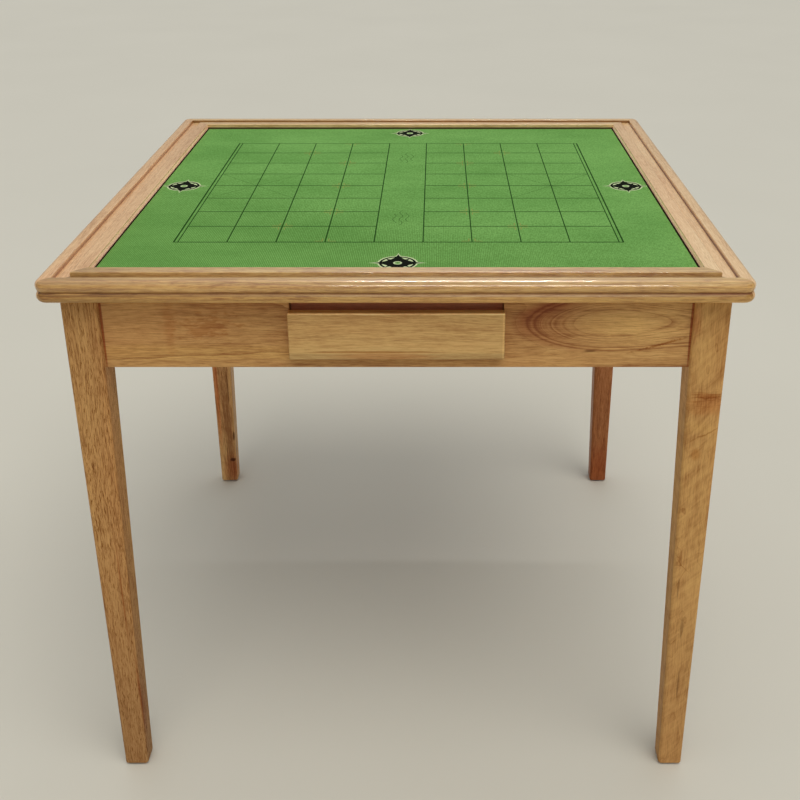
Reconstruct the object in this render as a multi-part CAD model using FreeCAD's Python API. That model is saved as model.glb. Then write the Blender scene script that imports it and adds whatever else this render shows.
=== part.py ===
import FreeCAD, Part
import math
import os

# A square mahjong table: mitred top frame with a chip trough, a lift-out felt playing board,
# tapered legs, and a drawer in each apron. Sizes are in millimetres. +Z is up, -Y is the front,
# and the origin is on the floor under the middle of the top.

# Table
top_size = 850.0                # square top, edge to edge
table_height = 760.0            # floor to the upper face of the rim

# Rails of the top frame, from the outer edge inwards
rail_thickness = 28.0
rim_width = 17.8
trough_width = 17.2
trough_depth = 5.6
lip_width = 17.5
ledge_width = 10.0              # part of the rail that reaches under the board
corner_radius = 14.0            # of the top in plan
arris_radius = 1.5              # upper edges of the rim and the lip

# Moulded outer edge: two rolls with a cusp between them
upper_roll_radius = 7.0
lower_roll_radius = 8.0
cusp_drop = 14.5                # below the upper face
cusp_depth = 2.5                # behind the outer edge

# Splines across the mitres
spline_length = 40.0            # along the mitre
spline_width = 24.0             # across it
spline_thickness = 4.0
spline_drop = 15.0              # its upper face, below the upper face of the rim

# Playing board
board_gap = 2.8                 # to the lip, all round
board_drop = 8.0                # felt below the rim
felt_thickness = 1.2
core_thickness = 6.0
backing_thickness = 0.8
board_corner_radius = 2.0

# Legs, tapered on their two inner faces
leg_size = 44.0
foot_size = 32.5
leg_block_height = 112.0        # untapered length under the top
leg_setback = 22.0              # behind the edge of the top
leg_edge_radius = 4.5
foot_chamfer = 1.5

# Glides under the feet
glide_radius = 13.0
glide_thickness = 2.0
glide_pin_radius = 1.5
glide_pin_length = 14.0

# Aprons, tenoned into the legs
apron_height = 96.0
apron_thickness = 18.0
apron_setback = 8.0             # behind the legs' outer faces
apron_edge_radius = 1.5
tenon_length = 12.0
tenon_thickness = 8.0
tenon_shoulder = 10.0
mortise_end_gap = 1.0

# Bearers that flank the drawers and cross under the board
bearer_thickness = 20.0
bearer_rise = 19.0              # above the lower edges of the aprons
bearer_housing = 6.0            # let into the aprons
bearer_ledge_gap = 0.5          # beside the rails' ledge

# Drawers
front_width = 262.0
front_height = 61.0
front_thickness = 12.0
front_edge_radius = 1.5
finger_gap = 19.0               # between the drawer front and the top
front_side_lap = 1.2            # over the sides of the cut-out in the apron
front_sill_lap = 4.0            # over its sill
grip_width = 10.0               # groove for the fingers, behind the front's upper edge
grip_depth = 13.0
inner_wall_thickness = 8.0      # behind that groove
inner_wall_gap = 5.0            # to the top
inner_wall_play = 0.8           # beside its upper part, in the cut-out
box_side_clearance = 2.5
box_sill_clearance = 2.0
side_thickness = 12.0
side_height = 50.0
back_thickness = 12.0
back_gap = 20.0                 # to the crossing bearer
panel_thickness = 4.0
panel_rise = 6.0                # above the lower edges of the sides
panel_groove = 4.0

# Runners in the sides' grooves
runner_height = 12.0
runner_thickness = 8.0
runner_tip_gap = 0.5
runner_end_gap = 1.0            # behind the apron
groove_play = 1.0
seat_gap = 0.3                  # over the runner

# Corner braces
brace_thickness = 20.0
brace_height = 70.0
brace_top_gap = 12.0
brace_leg_gap = 12.0            # in front of the leg's inner edge

# Hanger bolts and flanged nuts
bolt_radius = 4.0
bolt_leg_depth = 30.0
bolt_end = 2.0                  # past the nut
bolt_inset = 20.0               # from the brace's upper and lower edges
nut_width = 13.0                # across its flats
nut_height = 8.0
flange_radius = 9.0
flange_thickness = 2.0

# Screws
head_factor = 2.0               # head across, in shanks
pan_head_height = 2.0
countersink_height = 2.0
screw_clearance = 0.1
brace_screw_radius = 2.0
brace_screw_inset = 12.0        # from the brace's upper and lower edges
brace_screw_seat = 10.0         # wood under the head
brace_screw_cover = 4.0         # apron left in front of the point
runner_screw_radius = 1.75
runner_screw_bite = 10.0
runner_screw_inset = 30.0       # from the runner's ends

# Steel angle clips between the aprons and the top
clip_width = 20.0
clip_height = 20.0
clip_thickness = 2.0
clip_edge_gap = 1.0             # short of the ledge's inner edge
clip_screw_radius = 1.75
clip_screw_cover = 3.0          # ledge left over the point

# How far a cutting block runs past what it cuts
overcut = 1.0

# Places that follow
top_half = top_size / 2
underside = table_height - rail_thickness
lip_outset = rim_width + trough_width
rebate_outset = lip_outset + lip_width
ledge_outset = rebate_outset + ledge_width
board_thickness = felt_thickness + core_thickness + backing_thickness
ledge_drop = board_drop + board_thickness
ledge_top = table_height - ledge_drop
ledge_inner = top_half - ledge_outset
board_half = top_half - rebate_outset - board_gap

leg_outer = top_half - leg_setback
leg_inner = leg_outer - leg_size
taper_top = underside - leg_block_height

apron_outer = leg_outer - apron_setback
apron_inner = apron_outer - apron_thickness
apron_middle = (apron_outer + apron_inner) / 2
apron_bottom = underside - apron_height

front_top = underside - finger_gap
front_bottom = front_top - front_height
cutout_half = front_width / 2 - front_side_lap
cutout_sill = front_bottom + front_sill_lap

bearer_outer = cutout_half + bearer_thickness
bearer_bottom = apron_bottom + bearer_rise
bearer_end = apron_inner + bearer_housing
bearer_lap = (bearer_bottom + ledge_top) / 2

box_half = cutout_half - box_side_clearance
box_inner = box_half - side_thickness
box_bottom = cutout_sill + box_sill_clearance
box_top = box_bottom + side_height
box_back = bearer_outer + back_gap
grip_back = apron_outer - grip_width
grip_floor = front_top - grip_depth
inner_wall_back = grip_back - inner_wall_thickness
inner_wall_top = underside - inner_wall_gap
inner_wall_half = cutout_half - inner_wall_play
panel_bottom = box_bottom + panel_rise
panel_top = panel_bottom + panel_thickness

groove_top = (box_bottom + box_top + runner_height + groove_play) / 2
groove_bottom = groove_top - runner_height - groove_play
groove_face = box_half - (runner_thickness - box_side_clearance + runner_tip_gap)
runner_top = groove_top - seat_gap
runner_bottom = runner_top - runner_height
runner_face = cutout_half - runner_thickness
runner_front = apron_inner - runner_end_gap
runner_middle = (runner_top + runner_bottom) / 2

brace_top = underside - brace_top_gap
brace_bottom = brace_top - brace_height
brace_back = brace_leg_gap + brace_thickness

# in the order of quarter turns from the front and from the front left corner
sides = ["front", "right", "rear", "left"]
corners = ["front_left", "front_right", "rear_right", "rear_left"]

up = FreeCAD.Vector(0, 0, 1)
outward = FreeCAD.Vector(0, -1, 0)
to_corner = FreeCAD.Vector(-1, -1, 0).normalize()
from_corner = to_corner.negative()


# Helpers

def vec(x, y, z):
    return FreeCAD.Vector(x, y, z)


def block(x0, x1, y0, y1, z0, z1):
    return Part.makeBox(x1 - x0, y1 - y0, z1 - z0, vec(x0, y0, z0))


def turned(shape, quarter_turns):
    copy = shape.copy()
    copy.rotate(vec(0, 0, 0), up, 90 * quarter_turns)
    return copy


def mirrored(shape):
    # to the other end of the same side of the table
    return shape.mirror(vec(0, 0, 0), vec(1, 0, 0))


def across_corner(shape):
    # to the other side of the front left corner
    return shape.mirror(vec(0, 0, 0), vec(1, -1, 0))


def placed(shape, point, direction):
    copy = shape.copy()
    copy.Placement = FreeCAD.Placement(point, FreeCAD.Rotation(up, direction))
    return copy


def rod(radius, length, point, direction):
    return Part.makeCylinder(radius, length, point, direction)


def joined(shapes):
    return shapes[0].fuse(shapes[1:]).removeSplitter()


def arc_about(centre, start, end):
    radius = start.distanceToPoint(centre)
    towards = ((start + end) * 0.5 - centre).normalize()
    return Part.Arc(start, centre + towards * radius, end).toShape()


def straight_edges(points):
    return [Part.makeLine(a, b) for a, b in zip(points, points[1:])]


def flat_screw(radius, length, point, direction):
    # countersunk, with its head level with point
    head = Part.makeCone(radius * head_factor, radius, countersink_height, point, direction)
    return joined([head, rod(radius, length, point, direction)])


def flat_screw_hole(radius, length, point, direction):
    head = radius * head_factor + screw_clearance
    shank = radius + screw_clearance
    sink = Part.makeCone(head, shank, countersink_height, point, direction)
    return joined([sink, rod(shank, length, point, direction)])


def pan_screw(radius, length, point, direction):
    # pan head standing on point
    head = rod(radius * head_factor, pan_head_height, point - direction * pan_head_height, direction)
    return joined([head, rod(radius, length, point, direction)])


# Top frame

def rail_point(outset, drop):
    # point of the front rail's section, from the outer edge and the upper face
    return vec(0, outset - top_half, table_height - drop)


def rail_arc(centre, start, end):
    return arc_about(rail_point(*centre), rail_point(*start), rail_point(*end))


def rail_line(points):
    return straight_edges([rail_point(*point) for point in points])


def roll_to_cusp(peak_drop):
    rise = cusp_drop - peak_drop
    radius = (cusp_depth ** 2 + rise ** 2) / (2 * cusp_depth)
    return rail_arc((radius, peak_drop), (0, peak_drop), (cusp_depth, cusp_drop))


def rail_section():
    ease = arris_radius
    upper = upper_roll_radius
    lower = lower_roll_radius
    lower_peak = rail_thickness - lower
    edges = rail_line([(upper, 0), (rim_width - ease, 0)])
    edges.append(rail_arc((rim_width - ease, ease), (rim_width - ease, 0), (rim_width, ease)))
    edges += rail_line([(rim_width, ease), (rim_width, trough_depth),
                        (lip_outset, trough_depth), (lip_outset, ease)])
    edges.append(rail_arc((lip_outset + ease, ease), (lip_outset, ease), (lip_outset + ease, 0)))
    edges += rail_line([(lip_outset + ease, 0), (rebate_outset - ease, 0)])
    edges.append(rail_arc((rebate_outset - ease, ease), (rebate_outset - ease, 0), (rebate_outset, ease)))
    edges += rail_line([(rebate_outset, ease), (rebate_outset, ledge_drop), (ledge_outset, ledge_drop),
                        (ledge_outset, rail_thickness), (lower, rail_thickness)])
    edges.append(rail_arc((lower, lower_peak), (lower, rail_thickness), (0, lower_peak)))
    edges.append(roll_to_cusp(lower_peak))
    edges.append(roll_to_cusp(upper))
    edges.append(rail_arc((upper, upper), (0, upper), (upper, 0)))
    return Part.Face(Part.Wire(edges))


def rail_corner(section):
    # the moulded edge turned through half of the right-hand corner
    centre = top_half - corner_radius
    outer = block(-overcut, overcut, -top_half - overcut, -centre,
                  underside - overcut, table_height + overcut)
    moulding = section.common(outer)
    moulding.translate(vec(centre, 0, 0))
    return moulding.revolve(vec(centre, -centre, 0), up, 45)


def top_rail():
    section = rail_section()
    bar = section.translated(vec(-top_half, 0, 0)).extrude(vec(top_size, 0, 0))
    reach = top_half + overcut
    wedge = Part.Face(Part.makePolygon([vec(0, 0, 0), vec(-reach, -reach, 0), vec(reach, -reach, 0),
                                        vec(0, 0, 0)]))
    bar = bar.common(wedge.extrude(vec(0, 0, table_height + overcut)))
    centre = top_half - corner_radius
    square = block(centre, reach, -reach, -centre, 0, table_height + overcut)
    bar = bar.cut([square, mirrored(square)])
    end = rail_corner(section).Solids[0]
    rail = joined([bar, end, mirrored(end)])
    rail = rail.cut([mitre_spline(), mirrored(mitre_spline())])
    holes = [clip_top_hole(), mirrored(clip_top_hole())]
    return rail.cut(holes)


def mitre_spline():
    spline = block(-spline_length / 2, spline_length / 2, -spline_width / 2, spline_width / 2,
                   -spline_thickness, 0)
    spline.rotate(vec(0, 0, 0), up, 45)
    place = rebate_outset / 2 - top_half
    spline.translate(vec(place, place, table_height - spline_drop))
    return spline


# Playing board

def board_layer(bottom, thickness):
    layer = block(-board_half, board_half, -board_half, board_half, bottom, bottom + thickness)
    upright = [edge for edge in layer.Edges if edge.BoundBox.ZLength > thickness / 2]
    return layer.makeFillet(board_corner_radius, upright)


# Legs

def leg_outline(inset, size, radius, level):
    # rounded square with its outer sides inset behind the leg's outer faces
    low = inset - leg_outer
    high = low + size
    near = low + radius
    far = high - radius
    edges = [
        Part.makeLine(vec(near, low, level), vec(far, low, level)),
        arc_about(vec(far, near, level), vec(far, low, level), vec(high, near, level)),
        Part.makeLine(vec(high, near, level), vec(high, far, level)),
        arc_about(vec(far, far, level), vec(high, far, level), vec(far, high, level)),
        Part.makeLine(vec(far, high, level), vec(near, high, level)),
        arc_about(vec(near, far, level), vec(near, high, level), vec(low, far, level)),
        Part.makeLine(vec(low, far, level), vec(low, near, level)),
        arc_about(vec(near, near, level), vec(low, near, level), vec(near, low, level)),
    ]
    return Part.Wire(edges)


def leg():
    foot_top = glide_thickness + foot_chamfer
    top = leg_outline(0, leg_size, leg_edge_radius, taper_top)
    ankle = leg_outline(0, foot_size, leg_edge_radius, foot_top)
    foot = leg_outline(foot_chamfer, foot_size - 2 * foot_chamfer, leg_edge_radius - foot_chamfer,
                       glide_thickness)
    stem = Part.Face(top).extrude(vec(0, 0, leg_block_height))
    solid = joined([stem, Part.makeLoft([ankle, top], True, True), Part.makeLoft([foot, ankle], True, True)])
    mortise = tenon(mortise_end_gap)
    cuts = [mortise, across_corner(mortise), glide_pin(screw_clearance)]
    cuts += [bolt(level, screw_clearance) for level in bolt_levels()]
    return solid.cut(cuts)


def glide_pin(clearance):
    middle = foot_size / 2 - leg_outer
    return rod(glide_pin_radius + clearance, glide_thickness + glide_pin_length + clearance,
               vec(middle, middle, 0), up)


def foot_glide():
    middle = foot_size / 2 - leg_outer
    return joined([rod(glide_radius, glide_thickness, vec(middle, middle, 0), up), glide_pin(0)])


# Aprons

def tenon(end_gap):
    # left-hand tenon of the front apron
    return block(-leg_inner - tenon_length - end_gap, -leg_inner,
                 -apron_middle - tenon_thickness / 2, -apron_middle + tenon_thickness / 2,
                 apron_bottom + tenon_shoulder, underside - tenon_shoulder)


def apron():
    board = block(-leg_inner, leg_inner, -apron_outer, -apron_inner, apron_bottom, underside)
    lower = [edge for edge in board.Edges
             if edge.BoundBox.ZMax < underside and edge.BoundBox.XLength > leg_inner]
    board = board.makeFillet(apron_edge_radius, lower)
    board = joined([board, tenon(0), mirrored(tenon(0))])
    cutout = block(-cutout_half, cutout_half, -apron_outer - overcut, -apron_inner + overcut,
                   cutout_sill, underside + overcut)
    housing = block(cutout_half, bearer_outer, -bearer_end, -apron_inner + overcut,
                    bearer_bottom, underside + overcut)
    left_holes = [clip_side_hole()] + [brace_screw_hole(level) for level in brace_screw_levels()]
    cuts = [cutout, housing, mirrored(housing)] + left_holes + [mirrored(hole) for hole in left_holes]
    return board.cut(cuts)


# Bearers

def bearer():
    # the left bearer, from the front apron to the rear one
    shoulder = ledge_inner - bearer_ledge_gap
    deep = block(-bearer_outer, -cutout_half, -shoulder, shoulder, bearer_bottom, ledge_top)
    ends = block(-bearer_outer, -cutout_half, -bearer_end, bearer_end, bearer_bottom, underside)
    holes = [runner_screw_hole(place) for place in runner_screw_places()]
    holes += [turned(mirrored(hole), 2) for hole in holes]
    return joined([deep, ends]).cut(holes)


def lap(low, high):
    # room for the two crossing bearers
    front = block(-top_half, top_half, -bearer_outer, -cutout_half, low, high)
    return [front, turned(front, 2)]


# Drawers

def drawer_front():
    slab = block(-front_width / 2, front_width / 2, -apron_outer - front_thickness, -apron_outer,
                 front_bottom, front_top)
    visible = [edge for edge in slab.Edges if edge.BoundBox.YMin < -apron_outer - front_thickness / 2]
    slab = slab.makeFillet(front_edge_radius, visible)
    spacer = block(-box_inner, box_inner, -apron_outer, -grip_back, box_bottom, grip_floor)
    wall = block(-box_inner, box_inner, -grip_back, -inner_wall_back, box_bottom, inner_wall_top)
    crest = block(-inner_wall_half, inner_wall_half, -grip_back, -inner_wall_back, box_top, inner_wall_top)
    return joined([slab, spacer, wall, crest]).cut(drawer_bottom())


def drawer_side():
    # the left side
    board = block(-box_half, -box_inner, -apron_outer, -box_back, box_bottom, box_top)
    groove = block(-box_half - overcut, -groove_face, -apron_outer - overcut, -box_back + overcut,
                   groove_bottom, groove_top)
    return board.cut([groove, drawer_bottom()])


def drawer_back():
    return block(-box_inner, box_inner, -box_back - back_thickness, -box_back, panel_top, box_top)


def drawer_bottom():
    reach = box_inner + panel_groove
    return block(-reach, reach, -inner_wall_back - panel_groove, -box_back, panel_bottom, panel_top)


# Runners

def runner_screw_places():
    return [-runner_front + runner_screw_inset, -box_back - runner_screw_inset]


def runner_screw_point(place):
    return vec(-runner_face, place, runner_middle)


def runner_screw(place):
    return flat_screw(runner_screw_radius, runner_thickness + runner_screw_bite, runner_screw_point(place),
                      vec(-1, 0, 0))


def runner_screw_hole(place):
    return flat_screw_hole(runner_screw_radius, runner_thickness + runner_screw_bite + screw_clearance,
                           runner_screw_point(place), vec(-1, 0, 0))


def runner():
    # beside the left side of the front drawer
    strip = block(-cutout_half, -runner_face, -runner_front, -box_back, runner_bottom, runner_top)
    return strip.cut([runner_screw_hole(place) for place in runner_screw_places()])


# Corner braces and their bolts

def corner_point(distance, level):
    # on the diagonal, this far inside the leg's inner edge
    place = distance / math.sqrt(2) - leg_inner
    return vec(place, place, level)


def brace_reach(distance):
    # where a face across the corner at this distance meets the front apron
    return apron_inner - 2 * leg_inner + distance * math.sqrt(2)


def brace_screw_line():
    return (brace_reach(brace_leg_gap) + brace_reach(brace_back)) / 2


def brace_screw_levels():
    return [brace_bottom + brace_screw_inset, brace_top - brace_screw_inset]


def brace_screw_point(level):
    return vec(brace_screw_line(), brace_screw_seat - apron_inner, level)


def brace_screw_length():
    return brace_screw_seat + apron_thickness - brace_screw_cover


def brace_screw(level):
    return flat_screw(brace_screw_radius, brace_screw_length(), brace_screw_point(level), outward)


def brace_screw_hole(level):
    hole = flat_screw_hole(brace_screw_radius, brace_screw_length() + screw_clearance,
                           brace_screw_point(level), outward)
    counterbore = rod(brace_screw_radius * head_factor + screw_clearance, brace_thickness,
                      brace_screw_point(level), outward.negative())
    return joined([hole, counterbore])


def bolt_levels():
    return [brace_bottom + bolt_inset, brace_top - bolt_inset]


def bolt(level, clearance):
    inner_end = brace_back + nut_height + bolt_end
    return rod(bolt_radius + clearance, inner_end + bolt_leg_depth + clearance,
               corner_point(inner_end, level), to_corner)


def flanged_nut(level):
    corner = nut_width / math.sqrt(3)
    turns = [math.radians(60 * step) for step in range(7)]
    outline = Part.makePolygon([vec(corner * math.cos(turn), corner * math.sin(turn), 0) for turn in turns])
    body = Part.Face(outline).extrude(vec(0, 0, nut_height))
    flange = rod(flange_radius, flange_thickness, vec(0, 0, 0), up)
    nut = joined([body, flange]).cut(rod(bolt_radius + screw_clearance, nut_height, vec(0, 0, 0), up))
    return placed(nut, corner_point(brace_back, level), from_corner)


def corner_brace():
    near = brace_reach(brace_leg_gap)
    far = brace_reach(brace_back)
    outline = Part.makePolygon([
        vec(near, -apron_inner, brace_bottom),
        vec(far, -apron_inner, brace_bottom),
        vec(-apron_inner, far, brace_bottom),
        vec(-apron_inner, near, brace_bottom),
        vec(near, -apron_inner, brace_bottom),
    ])
    brace = Part.Face(outline).extrude(vec(0, 0, brace_height))
    screw_holes = [brace_screw_hole(level) for level in brace_screw_levels()]
    cuts = screw_holes + [across_corner(hole) for hole in screw_holes]
    cuts += [bolt(level, screw_clearance) for level in bolt_levels()]
    return brace.cut(cuts)


# Clips between the aprons and the top

def clip_place():
    # halfway between the bearer and the brace
    return (brace_reach(brace_back) - bearer_outer) / 2


def clip_flange_end():
    return ledge_inner + clip_edge_gap


def clip_top_point():
    middle = (apron_inner + clip_flange_end()) / 2
    return vec(clip_place(), -middle, underside - clip_thickness)


def clip_side_point():
    return vec(clip_place(), clip_thickness - apron_inner, underside - (clip_height + clip_thickness) / 2)


def clip_screw_length():
    return clip_thickness + rail_thickness - ledge_drop - clip_screw_cover


def clip_top_hole():
    return rod(clip_screw_radius + screw_clearance, clip_screw_length() + screw_clearance,
               clip_top_point(), up)


def clip_side_hole():
    return rod(clip_screw_radius + screw_clearance, clip_screw_length() + screw_clearance, clip_side_point(),
               outward)


def clip():
    low = clip_place() - clip_width / 2
    high = clip_place() + clip_width / 2
    web = block(low, high, -apron_inner, clip_thickness - apron_inner, underside - clip_height, underside)
    flange = block(low, high, -apron_inner, -clip_flange_end(), underside - clip_thickness, underside)
    return joined([web, flange]).cut([clip_top_hole(), clip_side_hole()])


def clip_screws():
    return [
        pan_screw(clip_screw_radius, clip_screw_length(), clip_top_point(), up),
        pan_screw(clip_screw_radius, clip_screw_length(), clip_side_point(), outward),
    ]


# Assembly

def around(shapes):
    # the same pieces at each side or corner, as one group
    return Part.makeCompound([turned(shape, turn) for turn in range(len(sides)) for shape in shapes])


def both_ends(shapes):
    return shapes + [mirrored(shape) for shape in shapes]


def both_aprons(shapes):
    return shapes + [across_corner(shape) for shape in shapes]


def drawer_pieces(side):
    return {
        side + "_drawer_front": drawer_front(),
        side + "_drawer_side_left": drawer_side(),
        side + "_drawer_side_right": mirrored(drawer_side()),
        side + "_drawer_back": drawer_back(),
        side + "_drawer_bottom": drawer_bottom(),
        side + "_runner_left": runner(),
        side + "_runner_right": mirrored(runner()),
    }


nodes = {}
for turn, side in enumerate(sides):
    nodes["top_rail_" + side] = turned(top_rail(), turn)
    nodes["apron_" + side] = turned(apron(), turn)
    for name, shape in drawer_pieces(side).items():
        nodes[name] = turned(shape, turn)

for turn, corner in enumerate(corners):
    nodes["leg_" + corner] = turned(leg(), turn)
    nodes["corner_brace_" + corner] = turned(corner_brace(), turn)

left_bearer = bearer()
nodes["bearer_left"] = left_bearer.cut(lap(bearer_lap, ledge_top))
nodes["bearer_right"] = turned(nodes["bearer_left"], 2)
nodes["bearer_front"] = turned(left_bearer, 1).cut([turned(cut, 1) for cut in lap(bearer_bottom, bearer_lap)])
nodes["bearer_rear"] = turned(nodes["bearer_front"], 2)

board_bottom = ledge_top
nodes["board_backing"] = board_layer(board_bottom, backing_thickness)
nodes["board_core"] = board_layer(board_bottom + backing_thickness, core_thickness)
nodes["board_felt"] = board_layer(board_bottom + backing_thickness + core_thickness, felt_thickness)

nodes["mitre_splines"] = around([mitre_spline()])
nodes["foot_glides"] = around([foot_glide()])
nodes["hanger_bolts"] = around([bolt(level, 0) for level in bolt_levels()])
nodes["hanger_nuts"] = around([flanged_nut(level) for level in bolt_levels()])
nodes["brace_screws"] = around(both_aprons([brace_screw(level) for level in brace_screw_levels()]))
nodes["runner_screws"] = around(both_ends([runner_screw(place) for place in runner_screw_places()]))
nodes["top_clips"] = around(both_ends([clip()]))
nodes["top_clip_screws"] = around(both_ends(clip_screws()))

os.makedirs("parts", exist_ok=True)
for name, shape in nodes.items():
    shape.exportStep(os.path.join("parts", name + ".step"))
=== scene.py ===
import math

import bmesh
import bpy
from mathutils import Matrix, Vector


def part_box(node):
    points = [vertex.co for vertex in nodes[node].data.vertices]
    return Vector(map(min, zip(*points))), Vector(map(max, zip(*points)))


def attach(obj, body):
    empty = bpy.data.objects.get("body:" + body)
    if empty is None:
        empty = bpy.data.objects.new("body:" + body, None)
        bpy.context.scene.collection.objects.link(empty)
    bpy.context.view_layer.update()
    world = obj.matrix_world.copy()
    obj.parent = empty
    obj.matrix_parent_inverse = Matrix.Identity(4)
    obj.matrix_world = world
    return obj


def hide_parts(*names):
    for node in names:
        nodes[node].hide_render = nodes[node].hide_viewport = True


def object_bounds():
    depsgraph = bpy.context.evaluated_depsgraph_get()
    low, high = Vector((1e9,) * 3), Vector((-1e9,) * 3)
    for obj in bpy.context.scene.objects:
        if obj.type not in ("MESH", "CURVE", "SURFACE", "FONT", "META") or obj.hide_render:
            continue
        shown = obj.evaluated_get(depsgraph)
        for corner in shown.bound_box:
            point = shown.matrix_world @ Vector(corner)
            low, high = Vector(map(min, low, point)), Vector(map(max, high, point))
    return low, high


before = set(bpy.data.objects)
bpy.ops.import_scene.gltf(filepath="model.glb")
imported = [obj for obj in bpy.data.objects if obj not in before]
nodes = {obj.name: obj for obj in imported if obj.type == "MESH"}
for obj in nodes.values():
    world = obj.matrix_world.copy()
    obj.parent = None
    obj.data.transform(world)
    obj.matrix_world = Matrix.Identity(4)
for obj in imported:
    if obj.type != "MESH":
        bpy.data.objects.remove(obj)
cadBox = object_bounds()
topZ = cadBox[1][2]
quarter = math.pi / 2
sides = ["front", "right", "rear", "left"]
corners = ["front_left", "front_right", "rear_right", "rear_left"]
print("frame:", len(nodes), "nodes")


def paint(red, green, blue):
    # an sRGB colour, 0 to 255, as Blender's linear one
    def linear(value):
        value /= 255
        return value / 12.92 if value <= 0.04045 else ((value + 0.055) / 1.055) ** 2.4
    return (linear(red), linear(green), linear(blue), 1.0)


def addNode(tree, kind, inputs=None, **settings):
    node = tree.nodes.new(kind)
    for name, value in settings.items():
        setattr(node, name, value)
    for key, value in (inputs or {}).items():
        if isinstance(value, bpy.types.NodeSocket):
            tree.links.new(value, node.inputs[key])
        else:
            node.inputs[key].default_value = value
    return node


def maths(tree, operation, *values, clamp=False):
    inputs = dict(enumerate(values))
    return addNode(tree, "ShaderNodeMath", inputs, operation=operation, use_clamp=clamp).outputs[0]


def vectors(tree, operation, *values):
    node = addNode(tree, "ShaderNodeVectorMath", dict(enumerate(values)), operation=operation)
    return node.outputs["Value" if operation == "LENGTH" else "Vector"]


def splitVector(tree, vector):
    return addNode(tree, "ShaderNodeSeparateXYZ", {0: vector}).outputs


def joinVector(tree, *parts):
    return addNode(tree, "ShaderNodeCombineXYZ", dict(enumerate(parts))).outputs[0]


def fromMiddle(tree, value):
    return maths(tree, "SUBTRACT", value, 0.5)


def swing(tree, colour):
    # a noise's colour as a vector round zero
    return vectors(tree, "SUBTRACT", colour, (0.5, 0.5, 0.5))


def apart(tree, first, second):
    return maths(tree, "ABSOLUTE", maths(tree, "SUBTRACT", first, second))


def below(tree, value, limit):
    return maths(tree, "LESS_THAN", value, limit)


def above(tree, value, limit):
    return maths(tree, "GREATER_THAN", value, limit)


def times(tree, *values):
    result = values[0]
    for value in values[1:]:
        result = maths(tree, "MULTIPLY", result, value)
    return result


def either(tree, *values):
    result = values[0]
    for value in values[1:]:
        result = maths(tree, "MAXIMUM", result, value)
    return result


def remap(tree, value, low, high, toLow=0.0, toHigh=1.0):
    inputs = {"Value": value, "From Min": low, "From Max": high, "To Min": toLow, "To Max": toHigh}
    return addNode(tree, "ShaderNodeMapRange", inputs, interpolation_type="SMOOTHSTEP").outputs["Result"]


def mixColours(tree, factor, first, second, blend="MIX"):
    inputs = {0: factor, 6: first, 7: second}
    return addNode(tree, "ShaderNodeMix", inputs, data_type="RGBA", blend_type=blend).outputs[2]


def tinted(tree, factor, colour, tint):
    return mixColours(tree, factor, colour, mixColours(tree, 1.0, colour, tint, "MULTIPLY"))


def noise(tree, place, pace=None, scale=1.0, detail=2.0, roughness=0.5, distortion=0.0, output="Fac"):
    # pace: how fast it changes along each axis, where that differs
    if pace is not None:
        place = vectors(tree, "MULTIPLY", place, pace)
    inputs = {"Vector": place, "Scale": scale, "Detail": detail, "Roughness": roughness,
              "Distortion": distortion}
    return addNode(tree, "ShaderNodeTexNoise", inputs).outputs[output]


def noiseAlong(tree, value, scale=1.0, detail=2.0):
    inputs = {"W": value, "Scale": scale, "Detail": detail}
    return addNode(tree, "ShaderNodeTexNoise", inputs, noise_dimensions="1D").outputs["Fac"]


def bumpFrom(tree, height, strength, distance):
    inputs = {"Strength": strength, "Distance": distance, "Height": height}
    return addNode(tree, "ShaderNodeBump", inputs).outputs[0]


def newGroup(name, inputs, *outputs):
    # inputs: name -> default, after a vector; outputs: names
    tree = bpy.data.node_groups.new(name, "ShaderNodeTree")
    kinds = {float: "NodeSocketFloat", tuple: "NodeSocketVector", list: "NodeSocketColor"}
    for label, value in {"Vector": (0, 0, 0), **inputs}.items():
        socket = tree.interface.new_socket(label, in_out="INPUT", socket_type=kinds[type(value)])
        socket.default_value = value
    for label in outputs:
        kind = "NodeSocketColor" if label == "colour" else "NodeSocketFloat"
        tree.interface.new_socket(label, in_out="OUTPUT", socket_type=kind)
    enter = tree.nodes.new("NodeGroupInput")
    leave = tree.nodes.new("NodeGroupOutput")
    return tree, enter.outputs, leave.inputs


def useGroup(tree, group, **inputs):
    return addNode(tree, "ShaderNodeGroup", inputs, node_tree=group).outputs


def sendOut(tree, leave, **sources):
    for label, source in sources.items():
        tree.links.new(source, leave[label])
    return tree


def newMaterial(name):
    material = bpy.data.materials.new(name)
    material.use_nodes = True
    tree = material.node_tree
    shader = tree.nodes["Principled BSDF"]
    place = tree.nodes.new("ShaderNodeTexCoord").outputs["Object"]
    return material, tree, shader, place


def connect(tree, shader, **sockets):
    for label, source in sockets.items():
        tree.links.new(source, shader.inputs[label.replace("_", " ")])


def setShader(shader, **values):
    for label, value in values.items():
        shader.inputs[label.replace("_", " ")].default_value = value


def addObject(name, data):
    made = bpy.data.objects.new(name, data)
    bpy.context.collection.objects.link(made)
    return made


def addMesh(name, mesh, material):
    data = bpy.data.meshes.new(name)
    mesh.to_mesh(data)
    mesh.free()
    data.materials.append(material)
    return addObject(name, data)


def dress(material, *names):
    for name in names:
        slots = nodes[name].data.materials
        slots.clear()
        slots.append(material)


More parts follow.
